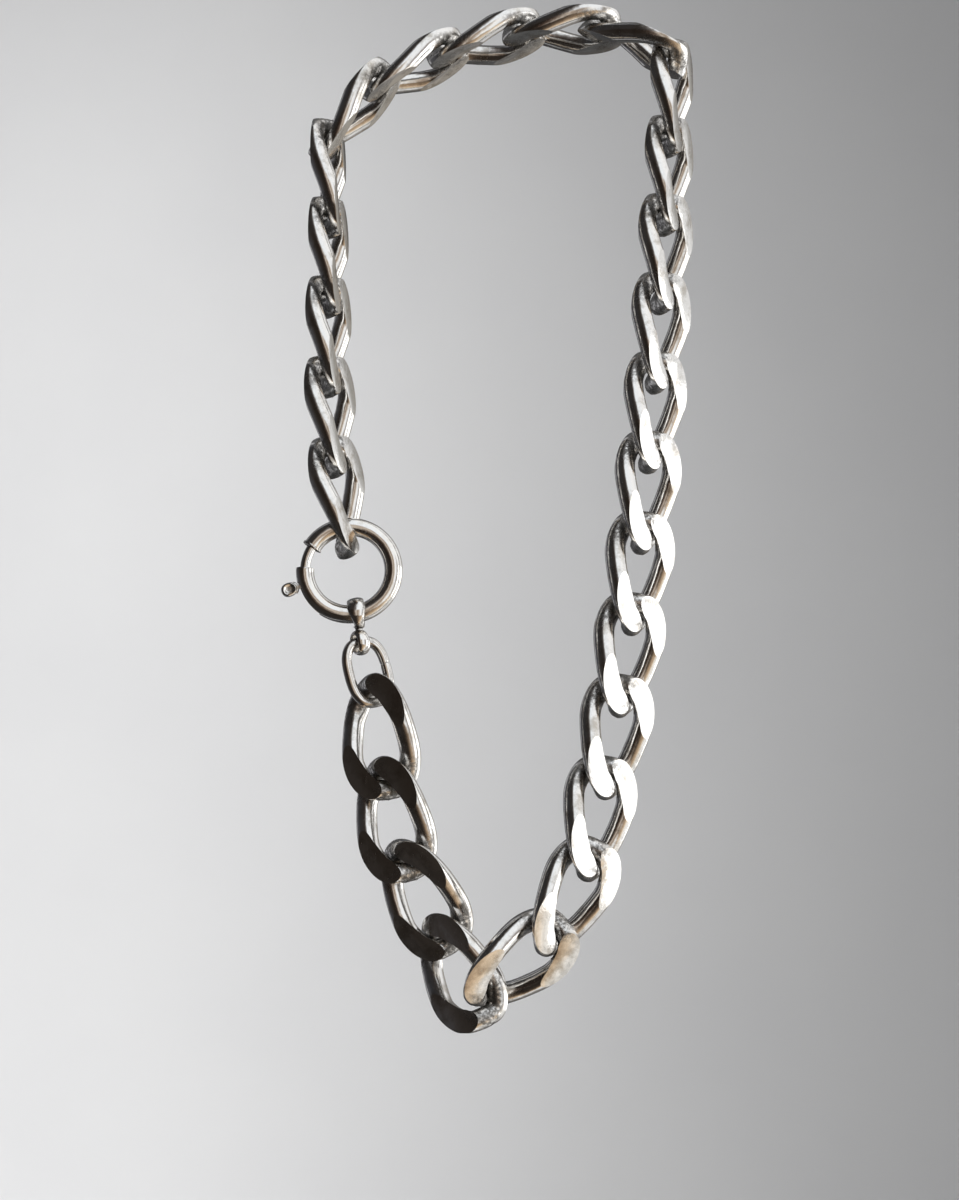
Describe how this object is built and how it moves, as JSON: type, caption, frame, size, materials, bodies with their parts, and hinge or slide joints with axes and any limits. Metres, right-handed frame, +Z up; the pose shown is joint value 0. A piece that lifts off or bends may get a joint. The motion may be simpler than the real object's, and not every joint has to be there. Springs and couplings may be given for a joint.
{
  "type": "chain necklace",
  "caption": "Heavy flat-filed curb chain necklace, hanging as a closed loop, with a sprung bolt ring clasp, a figure-8 bail and a cut jump ring.",
  "frame": {"origin": "the place where the top run of the chain is held, under its middle links", "axes": "+Z up, +X from the strand with the clasp to the plain strand, +Y away from the viewer through the loop"},
  "size_m": [0.0737, 0.0196, 0.1832],
  "materials": {
    "link_silver": "polished silver with fine scratches and dark grime where links rub",
    "clasp_silver": "polished silver, slightly worn",
    "spring_steel": "drawn spring wire"
  },
  "bodies": {
    "held_run": {"link_17": "link_silver", "link_18": "link_silver", "link_19": "link_silver", "link_20": "link_silver", "link_21": "link_silver"},
    "link_16": {"link_16": "link_silver"},
    "link_15": {"link_15": "link_silver"},
    "link_14": {"link_14": "link_silver"},
    "link_13": {"link_13": "link_silver"},
    "link_12": {"link_12": "link_silver"},
    "link_11": {"link_11": "link_silver"},
    "link_10": {"link_10": "link_silver"},
    "link_09": {"link_09": "link_silver"},
    "link_08": {"link_08": "link_silver"},
    "link_07": {"link_07": "link_silver"},
    "link_06": {"link_06": "link_silver"},
    "link_05": {"link_05": "link_silver"},
    "link_22": {"link_22": "link_silver"},
    "link_23": {"link_23": "link_silver"},
    "link_24": {"link_24": "link_silver"},
    "link_25": {"link_25": "link_silver"},
    "link_26": {"link_26": "link_silver"},
    "bolt_ring": {"bolt_ring_tube": "clasp_silver", "bolt_spring": "spring_steel"},
    "bail": {"figure_8_bail": "clasp_silver"},
    "jump_ring": {"jump_ring": "clasp_silver"},
    "link_01": {"link_01": "link_silver"},
    "link_02": {"link_02": "link_silver"},
    "link_03": {"link_03": "link_silver"},
    "link_04": {"link_04": "link_silver"},
    "bolt": {"bolt_with_trigger": "clasp_silver"}
  },
  "joints": [
    {"name": "fold_01", "type": "hinge", "parent": "held_run", "child": "link_16", "pos_m": [0.031, -0.0008, -0.0024], "axis": [0.9698, -0.0125, 0.2436], "range_deg": [-10, 10]},
    {"name": "fold_01_left", "type": "hinge", "parent": "held_run", "child": "link_22", "pos_m": [-0.0311, 0, -0.018], "axis": [0.9698, -0.0125, 0.2436], "range_deg": [-10, 10]},
    {"name": "fold_02", "type": "hinge", "parent": "link_16", "child": "link_15", "pos_m": [0.0303, 0, -0.0169], "axis": [0.9705, 0, 0.241], "range_deg": [-15, 15]},
    {"name": "fold_02_left", "type": "hinge", "parent": "link_22", "child": "link_23", "pos_m": [-0.0309, 0, -0.0321], "axis": [0.9705, 0, 0.241], "range_deg": [-15, 15]},
    {"name": "fold_03", "type": "hinge", "parent": "link_15", "child": "link_14", "pos_m": [0.0296, 0, -0.0314], "axis": [0.9698, 0, 0.244], "range_deg": [-15, 15]},
    {"name": "fold_03_left", "type": "hinge", "parent": "link_23", "child": "link_24", "pos_m": [-0.0308, 0, -0.0466], "axis": [0.9698, 0, 0.244], "range_deg": [-15, 15]},
    {"name": "fold_04", "type": "hinge", "parent": "link_14", "child": "link_13", "pos_m": [0.0287, 0, -0.0458], "axis": [0.9683, 0, 0.2498], "range_deg": [-15, 15]},
    {"name": "fold_04_left", "type": "hinge", "parent": "link_24", "child": "link_25", "pos_m": [-0.0306, 0, -0.0611], "axis": [0.9683, 0, 0.2498], "range_deg": [-15, 15]},
    {"name": "fold_05", "type": "hinge", "parent": "link_13", "child": "link_12", "pos_m": [0.0275, 0, -0.0603], "axis": [0.9659, 0, 0.2588], "range_deg": [-15, 15]},
    {"name": "fold_05_left", "type": "hinge", "parent": "link_25", "child": "link_26", "pos_m": [-0.0296, 0, -0.0756], "axis": [0.9659, 0, 0.2588], "range_deg": [-15, 15]},
    {"name": "fold_06", "type": "hinge", "parent": "link_12", "child": "link_11", "pos_m": [0.0262, 0, -0.0747], "axis": [0.9621, 0, 0.2728], "range_deg": [-15, 15]},
    {"name": "fold_06_left", "type": "hinge", "parent": "link_26", "child": "bolt_ring", "pos_m": [-0.0274, 0, -0.0899], "axis": [0.9621, 0, 0.2728], "range_deg": [-15, 15]},
    {"name": "fold_07", "type": "hinge", "parent": "link_11", "child": "link_10", "pos_m": [0.0247, 0, -0.0891], "axis": [0.9608, 0, 0.2773], "range_deg": [-15, 15]},
    {"name": "fold_07_left", "type": "hinge", "parent": "bolt_ring", "child": "bail", "pos_m": [-0.0252, 0, -0.1035], "axis": [0.9608, 0, 0.2773], "range_deg": [-15, 15]},
    {"name": "fold_08", "type": "hinge", "parent": "link_10", "child": "link_09", "pos_m": [0.0228, 0, -0.1035], "axis": [0.9945, 0, 0.1047], "range_deg": [-15, 15]},
    {"name": "fold_08_left", "type": "hinge", "parent": "bail", "child": "jump_ring", "pos_m": [-0.0247, 0, -0.1085], "axis": [0.9945, 0, 0.1047], "range_deg": [-15, 15]},
    {"name": "fold_09", "type": "hinge", "parent": "link_09", "child": "link_08", "pos_m": [0.0206, 0, -0.1179], "axis": [1, 0, -0.0023], "range_deg": [-15, 15]},
    {"name": "fold_09_left", "type": "hinge", "parent": "jump_ring", "child": "link_01", "pos_m": [-0.0222, 0, -0.1178], "axis": [1, 0, -0.0023], "range_deg": [-15, 15]},
    {"name": "fold_10", "type": "hinge", "parent": "link_08", "child": "link_07", "pos_m": [0.0181, 0.0005, -0.1316], "axis": [0.9995, 0.026, 0.0156], "range_deg": [-15, 10]},
    {"name": "fold_10_left", "type": "hinge", "parent": "link_01", "child": "link_02", "pos_m": [-0.0204, -0.0005, -0.1322], "axis": [0.9995, 0.026, 0.0156], "range_deg": [-15, 10]},
    {"name": "fold_11", "type": "hinge", "parent": "link_07", "child": "link_06", "pos_m": [0.0166, -0.0005, -0.1462], "axis": [0.9994, 0.0296, 0.0177], "range_deg": [-6, 10]},
    {"name": "fold_11_left", "type": "hinge", "parent": "link_02", "child": "link_03", "pos_m": [-0.0172, -0.0015, -0.1468], "axis": [0.9994, 0.0296, 0.0177], "range_deg": [-6, 10]},
    {"name": "fold_12", "type": "hinge", "parent": "link_06", "child": "link_05", "pos_m": [0.0095, -0.0011, -0.1585], "axis": [0.9825, -0.1851, -0.019], "range_deg": [-6, 10]},
    {"name": "fold_12_left", "type": "hinge", "parent": "link_03", "child": "link_04", "pos_m": [-0.0112, 0.0028, -0.1581], "axis": [0.9825, -0.1851, -0.019], "range_deg": [-6, 10]},
    {"name": "bolt_slide_round_ring", "type": "hinge", "parent": "bolt_ring", "child": "bolt", "pos_m": [-0.0267, 0, -0.09586], "axis": [0, -1, 0], "range_deg": [0, 34], "stiffness_Nm_per_rad": 0.001, "springref_deg": -34.38, "deforming": ["bolt_spring"]}
  ],
  "couplings": [
    {"joint": "fold_01_left", "follows": "fold_01", "ratio": 1},
    {"joint": "fold_02_left", "follows": "fold_02", "ratio": 1},
    {"joint": "fold_03_left", "follows": "fold_03", "ratio": 1},
    {"joint": "fold_04_left", "follows": "fold_04", "ratio": 1},
    {"joint": "fold_05_left", "follows": "fold_05", "ratio": 1},
    {"joint": "fold_06_left", "follows": "fold_06", "ratio": 1},
    {"joint": "fold_07_left", "follows": "fold_07", "ratio": 1},
    {"joint": "fold_08_left", "follows": "fold_08", "ratio": 1},
    {"joint": "fold_09_left", "follows": "fold_09", "ratio": 1},
    {"joint": "fold_10_left", "follows": "fold_10", "ratio": 1},
    {"joint": "fold_11_left", "follows": "fold_11", "ratio": 1},
    {"joint": "fold_12_left", "follows": "fold_12", "ratio": 1}
  ]
}
